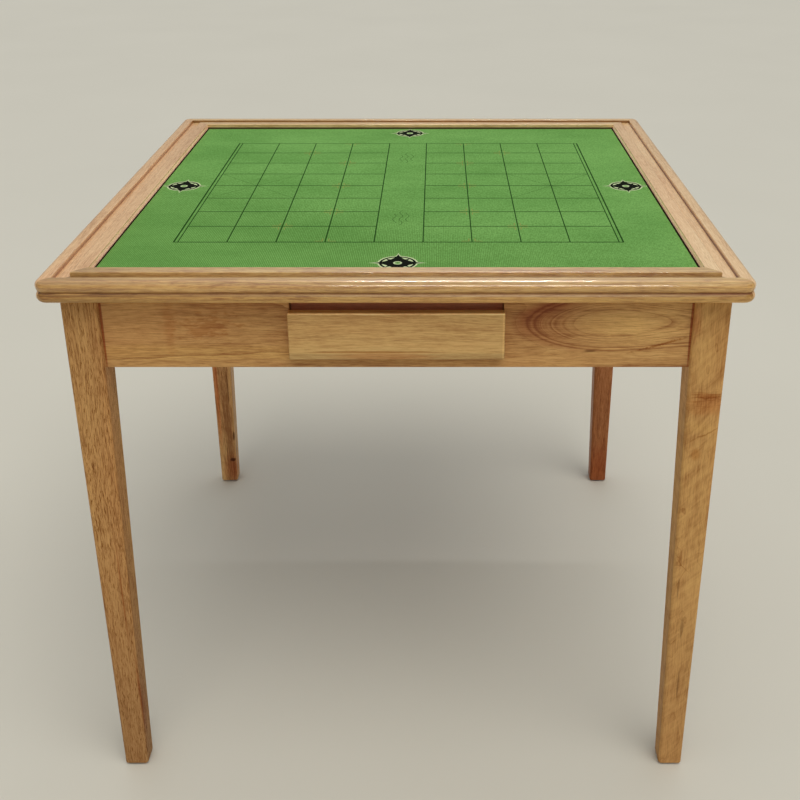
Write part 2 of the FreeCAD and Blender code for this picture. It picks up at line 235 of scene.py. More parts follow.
# Wood: what a board can change, then what all boards share
ringInputs = {
    "ringWidth": 0.006, "wander": 0.012, "wanderPace": (2.6, 11, 11), "pithAcross": 0.0,
    "pithBelow": 0.06, "lean": 0.0, "eyeCentre": (0, 0, 0), "eyeSize": (0.1, 0.04, 0.04),
    "eyeRise": 0.0, "eyeStretch": 1.0,
}
fibreInputs = {"fleckPace": (60, 1200, 1200), "fleckFrom": 0.56, "silkSlant": 0.5}
amountInputs = {
    "ringAmount": 0.9, "lateAmount": 0.25, "broadAmount": 0.6, "streakAmount": 0.7, "silkAmount": 0.25,
    "fleckAmount": 0.4, "blushAmount": 0.3, "rimAmount": 0.0,
}
colourInputs = {
    "pale": [0.8, 0.6, 0.4, 1.0], "tan": [0.6, 0.4, 0.2, 1.0], "brown": [0.3, 0.15, 0.07, 1.0],
    "blush": [1.0, 0.9, 0.85, 1.0],
}
ringLook = {
    "ripplePace": (14, 60, 60), "ripple": (0.15, 0.15, 0.15), "lateSharpness": 3.0,
    "latePace": 3.7, "lateFrom": (0.35, 0.7), "bandPace": 1.1,
    # round the eye, in its own radii
    "eyeOpens": 0.5, "eyeBlend": 0.5, "eyeSharpness": 4.0, "eyeLeast": 0.001,
    "calm": (0.58, 0.46), "calmLate": -0.85, "calmBands": 0.75, "calmLevel": 0.42,
    "rimInner": (0.5, 0.72), "rimOuter": (1.5, 1.22), "rimLeft": (-0.1, -0.8),
    "rimDeeper": (0.8, 1.15, 0.55, 1), "rimUpper": (-0.9, 0.7, 0.5, 1),
}
fibreLook = {
    "driftPace": (9, 30, 30), "drift": (0, 0.008, 0.008), "hairPace": (40, 560, 560),
    "ribbonPace": (9, 190, 190), "contrast": (0.3, 0.7), "hairShare": 0.7,
    "crowdPace": (11, 60, 60), "crowdPull": -0.14, "fleckEdge": 0.05,
    "silkPace": (85, 24, 24),
}
surfaceLook = {
    "broadPace": (3.5, 26, 26), "warmthPace": (2.2, 17, 17), "warmthFrom": (0.4, 0.66),
    "rimDeepens": 0.14, "rimTint": paint(206, 162, 160), "fleckTint": paint(166, 134, 98),
    "roughness": 0.32, "fleckRoughness": 0.15, "streakRoughness": 0.12,
    "fleckHeight": -0.8, "streakHeight": 0.4,
}


def makeGrowthRings():
    # Rings round a pith under the face. X runs along the grain, Z out of the face.
    look = ringLook
    tree, enter, leave = newGroup("growthRings", {"seed": (0, 0, 0), **ringInputs},
                                  "bands", "lateWood", "rim")
    place = enter["Vector"]
    sown = vectors(tree, "ADD", place, enter["seed"])
    slow = noise(tree, sown, enter["wanderPace"], output="Color")
    fine = noise(tree, sown, look["ripplePace"], output="Color")
    ripple = vectors(tree, "MULTIPLY", swing(tree, fine), look["ripple"])
    shift = vectors(tree, "MULTIPLY", vectors(tree, "ADD", swing(tree, slow), ripple), enter["wander"])
    bent = vectors(tree, "ADD", place, shift)
    part = splitVector(tree, bent)
    across = maths(tree, "SUBTRACT", part["Y"], enter["pithAcross"])
    under = maths(tree, "ADD", part["Z"], enter["pithBelow"])
    under = maths(tree, "MULTIPLY_ADD", part["X"], enter["lean"], under)
    radius = vectors(tree, "LENGTH", joinVector(tree, across, under))
    # an eye, where a knot lies under the face, whose outer rings open out towards the right
    toEye = vectors(tree, "DIVIDE", vectors(tree, "SUBTRACT", bent, enter["eyeCentre"]), enter["eyeSize"])
    part = splitVector(tree, toEye)
    opened = maths(tree, "SUBTRACT", part["X"], look["eyeOpens"])
    opened = maths(tree, "MULTIPLY_ADD", opened, enter["eyeStretch"], look["eyeOpens"])
    longer = maths(tree, "SMOOTH_MIN", part["X"], opened, look["eyeBlend"])
    away = vectors(tree, "LENGTH", joinVector(tree, longer, part["Y"], part["Z"]))
    bulge = maths(tree, "MULTIPLY", maths(tree, "POWER", away, look["eyeSharpness"]), -1.0)
    radius = maths(tree, "MULTIPLY_ADD", maths(tree, "EXPONENT", bulge), enter["eyeRise"], radius)
    # darker heartwood in the rings on its left, darkest along the outermost
    rim = times(tree, remap(tree, away, *look["rimInner"]), remap(tree, away, *look["rimOuter"]),
                remap(tree, part["X"], *look["rimLeft"]), remap(tree, away, *look["rimDeeper"]),
                remap(tree, part["Y"], *look["rimUpper"]))
    field = maths(tree, "DIVIDE", radius, enter["ringWidth"])
    field = maths(tree, "ADD", field, splitVector(tree, enter["seed"])["X"])
    late = maths(tree, "POWER", maths(tree, "FRACT", field), look["lateSharpness"])
    strength = noiseAlong(tree, maths(tree, "FLOOR", field), scale=look["latePace"], detail=0.0)
    strength = remap(tree, strength, *look["lateFrom"])
    # the eye's middle is plain
    calm = times(tree, remap(tree, away, *look["calm"]), above(tree, enter["eyeRise"], look["eyeLeast"]))
    strength = times(tree, strength, maths(tree, "MULTIPLY_ADD", calm, look["calmLate"], 1.0))
    bands = noiseAlong(tree, field, scale=look["bandPace"], detail=3.0)
    toCalm = maths(tree, "SUBTRACT", look["calmLevel"], bands)
    bands = maths(tree, "MULTIPLY_ADD", toCalm, times(tree, calm, look["calmBands"]), bands)
    return sendOut(tree, leave, bands=bands, lateWood=times(tree, late, strength), rim=rim)


def makeFibre():
    # fine streaks, short dark vessels and the silk that shows across them
    look = fibreLook
    tree, enter, leave = newGroup("woodFibre", fibreInputs, "streaks", "flecks", "silk")
    place = enter["Vector"]
    drift = swing(tree, noise(tree, place, look["driftPace"], detail=1.0, output="Color"))
    place = vectors(tree, "ADD", place, vectors(tree, "MULTIPLY", drift, look["drift"]))
    hairs = noise(tree, place, look["hairPace"], detail=3.0, roughness=0.7)
    hairs = times(tree, remap(tree, hairs, *look["contrast"]), look["hairShare"])
    ribbons = remap(tree, noise(tree, place, look["ribbonPace"]), *look["contrast"])
    streaks = maths(tree, "MULTIPLY_ADD", ribbons, 1.0 - look["hairShare"], hairs)
    dashes = noise(tree, place, enter["fleckPace"], roughness=0.6)
    crowd = fromMiddle(tree, noise(tree, place, look["crowdPace"], detail=1.0))
    start = maths(tree, "MULTIPLY_ADD", crowd, look["crowdPull"], enter["fleckFrom"])
    flecks = remap(tree, dashes, start, maths(tree, "ADD", start, look["fleckEdge"]))
    part = splitVector(tree, place)
    slanted = maths(tree, "MULTIPLY_ADD", part["Y"], enter["silkSlant"], part["X"])
    silk = noise(tree, joinVector(tree, slanted, part["Y"], part["Z"]), look["silkPace"], detail=5.0,
                 roughness=0.6, distortion=0.6)
    return sendOut(tree, leave, streaks=streaks, flecks=flecks, silk=silk)


def makeLacqueredWood(rings, fibre):
    look = surfaceLook
    inputs = {"seed": (0, 0, 0), **ringInputs, **fibreInputs, **amountInputs, **colourInputs}
    tree, enter, leave = newGroup("lacqueredWood", inputs, "colour", "roughness", "height")
    ring = useGroup(tree, rings, Vector=enter["Vector"], seed=enter["seed"],
                    **{name: enter[name] for name in ringInputs})
    sown = vectors(tree, "ADD", enter["Vector"], enter["seed"])
    fine = useGroup(tree, fibre, Vector=sown, **{name: enter[name] for name in fibreInputs})
    # tone: 0 is pale, 0.5 tan and 1 brown
    broad = noise(tree, sown, look["broadPace"], detail=3.0, distortion=0.3)
    tone = maths(tree, "MULTIPLY_ADD", fromMiddle(tree, ring["bands"]), enter["ringAmount"], 0.5)
    for source, amount in ((broad, "broadAmount"), (fine["streaks"], "streakAmount"),
                           (fine["silk"], "silkAmount")):
        tone = maths(tree, "MULTIPLY_ADD", fromMiddle(tree, source), enter[amount], tone)
    tone = maths(tree, "MULTIPLY_ADD", ring["lateWood"], enter["lateAmount"], tone)
    rim = times(tree, ring["rim"], enter["rimAmount"])
    tone = maths(tree, "MULTIPLY_ADD", rim, look["rimDeepens"], tone)
    paler = maths(tree, "MULTIPLY", tone, 2.0, clamp=True)
    deeper = maths(tree, "MULTIPLY_ADD", tone, 2.0, -1.0, clamp=True)
    colour = mixColours(tree, deeper, mixColours(tree, paler, enter["pale"], enter["tan"]), enter["brown"])
    warmth = remap(tree, noise(tree, sown, look["warmthPace"], distortion=0.5), *look["warmthFrom"])
    colour = tinted(tree, times(tree, warmth, enter["blushAmount"]), colour, enter["blush"])
    colour = tinted(tree, rim, colour, look["rimTint"])
    flecks = times(tree, fine["flecks"], enter["fleckAmount"])
    colour = tinted(tree, flecks, colour, look["fleckTint"])
    roughness = maths(tree, "MULTIPLY_ADD", flecks, look["fleckRoughness"], look["roughness"])
    roughness = maths(tree, "MULTIPLY_ADD", fine["streaks"], look["streakRoughness"], roughness)
    height = times(tree, fine["streaks"], look["streakHeight"])
    height = maths(tree, "MULTIPLY_ADD", flecks, look["fleckHeight"], height)
    return sendOut(tree, leave, colour=colour, roughness=roughness, height=height)


patchInputs = {
    "centre": (0, 0, 0), "size": (0.02, 0.01, 0.01), "ragged": 0.3, "edge": 0.5,
    "pace": (60, 220, 220), "sway": (0, 0, 0), "slant": (0, 0, 0),
}
swayPace = 42.0


def makeSoftPatch():
    # a ragged oval, for knots, figure and darker heartwood
    tree, enter, leave = newGroup("softPatch", patchInputs, "mask")
    place = enter["Vector"]
    bend = swing(tree, noise(tree, place, scale=swayPace, output="Color"))
    bend = vectors(tree, "MULTIPLY", bend, enter["sway"])
    away = vectors(tree, "ADD", vectors(tree, "SUBTRACT", place, enter["centre"]), bend)
    part = splitVector(tree, away)
    swapped = joinVector(tree, part["Z"], part["Y"], part["X"])
    away = vectors(tree, "SUBTRACT", away, vectors(tree, "MULTIPLY", swapped, enter["slant"]))
    away = vectors(tree, "DIVIDE", away, enter["size"])
    rough = fromMiddle(tree, noise(tree, place, enter["pace"], detail=3.0))
    reach = maths(tree, "MULTIPLY_ADD", rough, enter["ragged"], vectors(tree, "LENGTH", away))
    mask = remap(tree, reach, 1.0, maths(tree, "SUBTRACT", 1.0, enter["edge"]))
    return sendOut(tree, leave, mask=mask)


gapInputs = {"reach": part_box("board_felt")[1].x + 0.0033, "level": topZ - 0.0093, "foot": topZ - 0.0165}
gapLook = {
    "blur": 0.001, "upper": (topZ - 0.0007, topZ - 0.0028),  # where the wall's painted light fades out
    "footShadeColour": paint(60, 48, 22), "footShadeAmount": 0.94,
}


def makeGapShade():
    # the wall round the playing board: painted shade at its foot, where the gap lies in shadow, and painted
    # light on the wall above
    tree, enter, leave = newGroup("gapShade", gapInputs, "mask", "wall")
    part = splitVector(tree, enter["Vector"])
    out = either(tree, maths(tree, "ABSOLUTE", part["X"]), maths(tree, "ABSOLUTE", part["Y"]))
    inside = below(tree, out, enter["reach"])
    low = maths(tree, "SUBTRACT", part["Z"], enter["level"])
    low = remap(tree, low, gapLook["blur"], -gapLook["blur"])
    mask = times(tree, inside, low, above(tree, part["Z"], enter["foot"]))
    wall = times(tree, inside, maths(tree, "SUBTRACT", 1.0, low), remap(tree, part["Z"], *gapLook["upper"]))
    return sendOut(tree, leave, mask=mask, wall=wall)


plateInputs = {"light": [0.7, 0.7, 0.7, 1.0], "dull": [0.4, 0.4, 0.4, 1.0]}
plateLook = {
    "spangleScale": 700.0, "cloudScale": 120.0, "grainScale": 2500.0, "spangle": 0.35, "cloud": 0.9,
    "grain": 0.5, "roughness": 0.5, "polish": -0.2,
}


def makePlate():
    # zinc plating: fine spangle, dull clouds and a faint tint
    look = plateLook
    tree, enter, leave = newGroup("plate", plateInputs, "colour", "roughness", "height")
    place = enter["Vector"]
    cells = addNode(tree, "ShaderNodeTexVoronoi", {"Vector": place, "Scale": look["spangleScale"]})
    spangle = splitVector(tree, cells.outputs["Color"])["X"]
    clouds = times(tree, noise(tree, place, scale=look["cloudScale"], detail=4.0), look["cloud"])
    mix = maths(tree, "MULTIPLY_ADD", spangle, look["spangle"], clouds)
    grain = noise(tree, place, scale=look["grainScale"])
    return sendOut(tree, leave, colour=mixColours(tree, mix, enter["dull"], enter["light"]),
                   roughness=maths(tree, "MULTIPLY_ADD", mix, look["polish"], look["roughness"]),
                   height=maths(tree, "MULTIPLY_ADD", grain, look["grain"], spangle))


growthRings = makeGrowthRings()
woodFibre = makeFibre()
lacqueredWood = makeLacqueredWood(growthRings, woodFibre)
softPatch = makeSoftPatch()
gapShade = makeGapShade()
plate = makePlate()
print("shader groups made")

upX, upZ, outwards = Vector((1, 0, 0)), Vector((0, 0, 1)), Vector((0, -1, 0))
plainWood = {
    "pale": paint(224, 176, 108), "tan": paint(206, 156, 92), "brown": paint(168, 112, 58),
    "blush": paint(255, 232, 224), "ringWidth": 0.007, "wander": 0.012, "pithBelow": 0.12, "lean": 0.01,
    "lacquer": 0.2,
}
coatLook = {
    # less lacquer reaches the lower roll, and little of it the inner wall
    "rollHeights": (topZ - 0.0135, topZ - 0.0095), "lowerShare": 0.04, "wallLoses": -0.9,
    "roughness": 0.08, "gloss": 0.45, "bump": 0.2, "filled": -0.15, "pores": 0.0003,
}
# how high the painted shade at the foot of the inner wall reaches, and the painted light that tints the wall
# above it
gapLooks = {
    "top_rail_front": (topZ - 0.0083, (1.1, 1.1, 1.1, 1)),
    "top_rail_right": (topZ - 0.0083, (2.75, 2.5, 3.8, 1)),
    "top_rail_rear": (topZ - 0.0055, (1.1, 1.1, 1.1, 1)),
    "top_rail_left": (topZ - 0.0083, (2.75, 2.5, 3.8, 1)),
}
heart = paint(206, 150, 122)
knot = paint(92, 58, 44)
seedSpread = (1, 0.37, 0.61)


def turnedTo(vector, turns):
    # from the front side to the side that many quarter turns on
    return Matrix.Rotation(quarter * turns, 3, "Z") @ vector


def boardSpace(tree, place, name, grain, face):
    # a board's own space: X along the grain, Z out of its face
    low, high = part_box(name)
    axes = Matrix((grain, face.cross(grain), face))
    inputs = {"Vector": place, "Location": tuple(-(axes @ ((low + high) / 2))),
              "Rotation": tuple(axes.to_euler())}
    return addNode(tree, "ShaderNodeMapping", inputs).outputs[0]


def patch(centre, size, tint, amount=0.8, **shape):
    # a soft oval on a board, in the table's own space, that multiplies the colour by the tint
    return {"tint": (*tint[:3], 1), "amount": amount, "shape": {"centre": centre, "size": size, **shape}}


def dressWood(name, grain, face, seed, look, patches=()):
    look = {**plainWood, **look}
    lacquer = look.pop("lacquer")
    material, tree, shader, place = newMaterial(name)
    local = boardSpace(tree, place, name, grain, face)
    sowing = tuple(seed * share for share in seedSpread)
    wood = useGroup(tree, lacqueredWood, Vector=local, seed=sowing, **look)
    colour = wood["colour"]
    for spot in patches:
        mask = useGroup(tree, softPatch, Vector=place, **spot["shape"])["mask"]
        colour = tinted(tree, times(tree, mask, spot["amount"]), colour, spot["tint"])
    bump = bumpFrom(tree, wood["height"], coatLook["bump"] + coatLook["filled"] * lacquer, coatLook["pores"])
    setShader(shader, Coat_Weight=lacquer, Coat_Roughness=coatLook["roughness"],
              Specular_IOR_Level=coatLook["gloss"] * lacquer ** 2)
    if name in gapLooks:
        level, tint = gapLooks[name]
        # painted shade at the foot of the inner wall, and painted light on the wall above it
        gap = useGroup(tree, gapShade, Vector=place, level=level)
        colour = tinted(tree, gap["wall"], colour, tint)
        foot = times(tree, gap["mask"], gapLook["footShadeAmount"])
        colour = mixColours(tree, foot, colour, gapLook["footShadeColour"])
        coat = remap(tree, splitVector(tree, place)["Z"], *coatLook["rollHeights"],
                     coatLook["lowerShare"] * lacquer, lacquer)
        coat = times(tree, coat, maths(tree, "MULTIPLY_ADD", gap["wall"], coatLook["wallLoses"], 1.0))
        connect(tree, shader, Coat_Weight=coat)
    connect(tree, shader, Base_Color=colour, Roughness=wood["roughness"], Normal=bump)
    dress(material, name)


rails = {
    "front": {
        "pale": paint(221, 188, 124), "tan": paint(205, 166, 102), "brown": paint(168, 122, 70),
        "fleckAmount": 0.35, "ringAmount": 0.7, "streakAmount": 0.9, "lacquer": 1.0,
    },
    "right": {
        "pale": paint(240, 206, 156), "tan": paint(226, 188, 138), "brown": paint(196, 152, 104),
        "fleckAmount": 0.25, "silkAmount": 0.5, "ringAmount": 0.7, "lacquer": 0.8,
    },
    "rear": {
        "pale": paint(240, 211, 156), "tan": paint(226, 191, 136), "brown": paint(196, 154, 100),
        "lacquer": 0.8,
    },
    "left": {
        "pale": paint(238, 197, 146), "tan": paint(223, 179, 129), "brown": paint(192, 144, 97),
        "fleckAmount": 0.3, "silkAmount": 0.6, "ringAmount": 0.7, "lacquer": 0.8,
    },
}
railPatches = {
    "front": [
        # painted shade in the cusp between the rolls, then the rolls band by band: painted shade under the
        # upper arris, a painted highlight across the upper roll, painted shade over the lower roll and a
        # painted highlight low on it
        patch((0, -0.4225, 0.7458), (2, 0.008, 0.0018), paint(212, 190, 168)),
        patch((0, -0.4225, 0.7583), (9, 0.0055, 0.0013), (0.8, 0.82, 0.84), amount=1, ragged=0.2),
        patch((0, -0.425, 0.7515), (9, 0.006, 0.0048), (1.18, 1.18, 1.2), amount=1, ragged=0.2),
        patch((0, -0.4225, 0.7436), (9, 0.02, 0.0029), (0.64, 0.58, 0.5), amount=1, edge=0.6, ragged=0.3),
        patch((0.14, -0.4225, 0.7347), (0.5, 0.02, 0.005), (1.32, 1.38, 1.45), amount=1, edge=0.6,
              ragged=0.2),
        # the rim's top and the whole outer face
        patch((0, -0.428, 0.757), (9, 0.0175, 0.03), paint(250, 240, 222), amount=1, edge=0.2, ragged=0),
        # a painted highlight line on the lower roll at the left, and the darker left end
        patch((-0.3784, -0.4245, 0.7448), (0.03, 0.004, 0.0009), (2, 2.4, 2.9), amount=1, ragged=0),
        patch((-0.45, -0.42, 0.752), (0.18, 0.12, 0.06), (0.8, 0.74, 0.69), amount=1, edge=0.5, ragged=0.3),
        # painted shade on the trough's floor beside the lip, and on the rim's inner arris
        patch((0, -0.3925, 0.7544), (9, 0.0055, 0.0015), (0.7, 0.66, 0.6), amount=1, edge=0.4, ragged=0.3),
        patch((0, -0.4077, 0.7592), (9, 0.0014, 0.004), (0.7, 0.68, 0.65), amount=1, ragged=0.2),
        # knots and heartwood
        patch((-0.4195, -0.4185, 0.7455), (0.006, 0.006, 0.0016), knot),
        patch((0.387, -0.4225, 0.7455), (0.05, 0.006, 0.0022), heart, amount=0.6),
        patch((-0.214, -0.3895, 0.7575), (0.016, 0.006, 0.0012), knot, amount=0.35),
        patch((-0.042, -0.3895, 0.7575), (0.014, 0.006, 0.0012), knot, amount=0.35),
    ],
    "rear": [
        # painted shade on the trough's outer wall
        patch((0, 0.4072, 0.7572), (9, 0.0014, 0.0036), paint(166, 146, 116), amount=1, ragged=0),
    ],
    "right": [
        # painted shade at the foot of the trough's outer wall
        patch((0.4072, 0, 0.7553), (0.0012, 9, 0.0034), paint(158, 118, 86), amount=0.9, ragged=0.4),
    ],
    "left": [
        # painted shade at the foot of the trough's outer wall
        patch((-0.4072, 0, 0.7553), (0.0012, 9, 0.0034), paint(190, 152, 112), amount=0.75, ragged=0.4),
    ],
}

aprons = {
    "front": {
        "pale": paint(223, 177, 114), "tan": paint(203, 154, 95), "brown": paint(164, 110, 65),
        "pithBelow": 0.3, "wander": 0.010, "ringWidth": 0.0045, "eyeCentre": (0.2633, 0.0118, 0.009),
        "eyeSize": (0.088, 0.0285, 0.06), "eyeRise": 0.040, "eyeStretch": 0.32, "lateAmount": 0.55,
        "ringAmount": 1.2, "fleckAmount": 0.25, "streakAmount": 0.68, "rimAmount": 0.9,
    },
    "right": {"ringAmount": 1.0},
    "rear": {"pithAcross": 0.02, "pithBelow": 0.05},
    "left": {"wander": 0.02},
}
apronPatches = {
    "front": [
        # the eye, paler inside and to its right, with lines below it
        patch((0.2633, -0.395, 0.6924), (0.048, 0.06, 0.0175), (1.12, 1.16, 1.14), amount=1, edge=0.45),
        patch((0.315, -0.395, 0.69), (0.08, 0.06, 0.05), (1.2, 1.28, 1.28), amount=1, edge=0.9),
        patch((0.2365, -0.395, 0.6584), (0.009, 0.06, 0.0014), knot, amount=0.7),
        patch((0.261, -0.395, 0.6612), (0.02, 0.06, 0.0009), (1.25, 1.25, 1.2)),
        # a slanting brown streak
        patch((0.322, -0.395, 0.667), (0.048, 0.06, 0.0024), paint(202, 168, 140), amount=0.9, edge=0.8,
              ragged=1.3, pace=(420, 60, 300), slant=(0, 0, 0.3)),
        # both ends: painted shade beside the legs, reddish
        patch((0.3578, -0.395, 0.7), (0.002, 0.06, 0.09), paint(190, 120, 104), pace=(30, 30, 30)),
        patch((-0.3578, -0.395, 0.7), (0.0022, 0.06, 0.09), paint(190, 120, 104), pace=(30, 30, 30)),
        # a darker ragged band, curly figure beside it and a lighter lower strip
        patch((-0.2765, -0.395, 0.69), (0.01, 0.06, 0.05), paint(236, 216, 204), amount=0.7, edge=0.9,
              ragged=1.8, pace=(90, 90, 500)),
        patch((-0.23, -0.395, 0.691), (0.04, 0.06, 0.018), paint(234, 214, 200), amount=0.8, edge=0.7,
              ragged=4, pace=(110, 110, 330), sway=(0.01, 0, 0.012)),
        patch((-0.25, -0.395, 0.656), (0.3, 0.06, 0.0135), (1.07, 1.12, 1.02), edge=0.5,
              pace=(24, 24, 240)),
    ],
}

drawerWood = {
    "pale": paint(228, 191, 126), "tan": paint(213, 173, 111), "brown": paint(181, 134, 80),
    "ringAmount": 0.6, "broadAmount": 0.5, "fleckAmount": 0.15, "streakAmount": 0.7,
}
drawerPatches = {
    "front": [
        # the inner wall's outward face, painted redder and darker as the warm shade in the slot
        patch((-0.0014, -0.388, 0.72), (9, 0.0037, 9), (1, 0.64, 0.95), amount=1, edge=0.1, ragged=0),
        # painted highlights on the upper and right arrises
        patch((-0.0014, -0.4075, 0.7134), (3, 0.003, 0.0024), (1.9, 2.2, 2.6), amount=1, ragged=0),
        patch((0.1292, -0.4068, 0.69), (0.0012, 0.002, 0.4), (1.2, 1.22, 1.2), amount=1, ragged=0),
        # a dark streak, blush under it and the darker lower edge
        patch((-0.03, -0.407, 0.6625), (0.108, 0.04, 0.0016), paint(206, 176, 148), amount=0.9, ragged=0.8,
              pace=(26, 60, 160)),
        patch((-0.015, -0.407, 0.6565), (0.085, 0.04, 0.006), paint(250, 224, 212), amount=0.8, edge=0.6),
        patch((-0.0014, -0.407, 0.6555), (3, 0.04, 0.0065), (0.8, 0.8, 0.82), amount=1, ragged=0.2),
    ],
}

legs = {
    "front_left": {
        "pale": paint(214, 168, 107), "tan": paint(198, 150, 93), "brown": paint(159, 110, 64),
        "fleckAmount": 0.95, "fleckPace": (75, 1450, 1450), "fleckFrom": 0.565, "ringAmount": 0.4,
        "broadAmount": 0.4, "streakAmount": 0.9, "lacquer": 0.1,
    },
    "front_right": {
        "pale": paint(225, 179, 111), "tan": paint(207, 159, 97), "brown": paint(167, 116, 65),
        "wander": 0.030, "wanderPace": (16, 30, 30), "ringAmount": 0.7, "lateAmount": 0.3,
        "silkAmount": 1.1, "silkSlant": 1.0, "fleckAmount": 0.2, "streakAmount": 0.5, "lacquer": 0.1,
    },
    "rear_right": {
        "pale": paint(195, 134, 85), "tan": paint(173, 111, 67), "brown": paint(132, 76, 43),
        "fleckAmount": 0.5,
    },
    "rear_left": {
        "pale": paint(238, 196, 134), "tan": paint(220, 172, 112), "brown": paint(160, 110, 66),
        "ringAmount": 1.2, "pithBelow": 0.03,
    },
}
legPatches = {
    "front_left": [
        # heartwood streaks
        patch((-0.3745, -0.403, 0.3), (0.0016, 0.03, 0.11), heart, edge=0.9, pace=(150, 150, 30)),
        patch((-0.369, -0.403, 0.12), (0.0018, 0.03, 0.11), heart, edge=0.9, pace=(150, 150, 30)),
        # a painted highlight on the tapered arris, and painted shade over the lower half
        patch((-0.3649, -0.403, 0.31), (0.0017, 0.003, 0.34), (1.2, 1.22, 1.22), amount=0.9, ragged=0.3,
              slant=(0.01855, 0, 0)),
        patch((-0.387, -0.403, 0), (0.9, 0.9, 0.5), (0.68, 0.67, 0.7), amount=1, edge=0.95, ragged=0),
    ],
    "front_right": [
        # curly figure: a ragged band, lines and hooks
        patch((0.388, -0.403, 0.5985), (0.04, 0.03, 0.0125), paint(206, 168, 138), amount=0.75, edge=1.3,
              ragged=3.4, pace=(40, 40, 520), sway=(0, 0, 0.022), slant=(0, 0, 0.1)),
        patch((0.386, -0.403, 0.588), (0.04, 0.03, 0.02), paint(240, 214, 200), amount=0.8, edge=0.95,
              sway=(0, 0, 0.02)),
        patch((0.381, -0.403, 0.5955), (0.028, 0.03, 0.0015), paint(206, 170, 140), amount=0.7, edge=0.9,
              ragged=0.5, sway=(0, 0, 0.02)),
        patch((0.388, -0.403, 0.5475), (0.03, 0.03, 0.0017), paint(206, 176, 146), amount=0.7, edge=0.9,
              ragged=0.5, sway=(0, 0, 0.018), slant=(0, 0, 0.6)),
        patch((0.3763, -0.403, 0.518), (0.009, 0.03, 0.011), paint(222, 196, 170), amount=0.7, edge=0.6,
              sway=(0.006, 0, 0.011)),
        patch((0.374, -0.403, 0.35), (0.016, 0.03, 0.002), paint(206, 176, 146), amount=0.6, edge=0.9,
              ragged=0.5, sway=(0, 0, 0.02), slant=(0, 0, -1.4)),
        patch((0.374, -0.403, 0.327), (0.012, 0.03, 0.002), paint(206, 176, 146), amount=0.6, edge=0.9,
              ragged=0.5, sway=(0, 0, 0.02), slant=(0, 0, 2.2)),
        # a painted highlight on the tapered arris, and painted shade over the lower half
        patch((0.3652, -0.403, 0.31), (0.0015, 0.003, 0.34), (1.14, 1.14, 1.16), amount=0.8, ragged=0.3,
              slant=(-0.01855, 0, 0)),
        patch((0.387, -0.403, 0), (0.9, 0.9, 0.5), (0.84, 0.82, 0.84), amount=1, edge=0.95, ragged=0),
        # a paler stretch, and blush at the top
        patch((0.38, -0.403, 0.5555), (0.03, 0.03, 0.013), (1.06, 1.08, 1.04), edge=0.9),
        patch((0.362, -0.403, 0.7), (0.008, 0.03, 0.035), paint(240, 214, 212), edge=0.9),
        # short dark streaks
        patch((0.3725, -0.403, 0.312), (0.0015, 0.02, 0.022), knot, amount=0.35, ragged=0.9,
              pace=(260, 100, 60)),
        patch((0.383, -0.403, 0.245), (0.003, 0.01, 0.022), knot, amount=0.4, ragged=0.9,
              pace=(260, 100, 60)),
        patch((0.386, -0.403, 0.15), (0.0016, 0.01, 0.035), knot, amount=0.4, ragged=0.9,
              pace=(260, 100, 40)),
    ],
    "rear_left": [
        # knots and heartwood
        patch((-0.376, 0.367, 0.053), (0.0075, 0.012, 0.0055), knot, ragged=0.7, pace=(160, 160, 160)),
        patch((-0.376, 0.367, 0.03), (0.03, 0.04, 0.055), paint(226, 156, 132), amount=0.7, edge=0.9),
        patch((-0.3705, 0.367, 0.109), (0.0024, 0.012, 0.014), knot),
        patch((-0.3745, 0.367, 0.22), (0.0014, 0.012, 0.05), knot, amount=0.6, pace=(200, 100, 30)),
        patch((-0.397, 0.367, 0.26), (0.006, 0.04, 0.25), paint(224, 150, 120), amount=0.7, edge=0.7),
    ],
    "rear_right": [
        patch((0.385, 0.367, 0.03), (0.04, 0.05, 0.09), paint(232, 190, 170), edge=0.9),
    ],
}

planedWood = {
    "pale": paint(196, 156, 108), "tan": paint(178, 134, 88), "brown": paint(140, 94, 56), "lacquer": 0.0,
}
runnerWood = {**planedWood, "pale": paint(186, 142, 94), "tan": paint(160, 112, 68)}
braceWood = {**planedWood, "ringWidth": 0.004}
seeds = {
    "rail": 3.1, "apron": 1.4, "drawerFront": 7.7, "drawerBack": 5.2, "drawerSide": 6.3, "runner": 2.3,
    "bearer": 4.6, "leg": 4.1, "brace": 6.1,
}

for turns, side in enumerate(sides):
    along, out = turnedTo(upX, turns), turnedTo(outwards, turns)
    dressWood(f"top_rail_{side}", along, upZ, seeds["rail"] + 2 * turns, rails[side], railPatches[side])
    dressWood(f"apron_{side}", along, out, seeds["apron"] + 2 * turns, aprons[side],
              apronPatches.get(side, ()))
    dressWood(f"{side}_drawer_front", along, out, seeds["drawerFront"] + 2 * turns, drawerWood,
              drawerPatches.get(side, ()))
    dressWood(f"{side}_drawer_back", along, out, seeds["drawerBack"] + turns, plainWood)
    for hand in ("left", "right"):
        dressWood(f"{side}_drawer_side_{hand}", out, along, seeds["drawerSide"] + turns, plainWood)
        dressWood(f"{side}_runner_{hand}", out, along, seeds["runner"] + turns, runnerWood)
    dressWood(f"bearer_{side}", along, out, seeds["bearer"] + turns, planedWood)
for turns, corner in enumerate(corners):
    out = outwards if corner.startswith("front") else -outwards
    dressWood(f"leg_{corner}", upZ, out, seeds["leg"] + 2 * turns, legs[corner], legPatches[corner])
    slope = turnedTo(Vector((1, -1, 0)).normalized(), turns)
    dressWood(f"corner_brace_{corner}", slope, upZ.cross(slope), seeds["brace"] + turns, braceWood)
print("solid wood dressed")

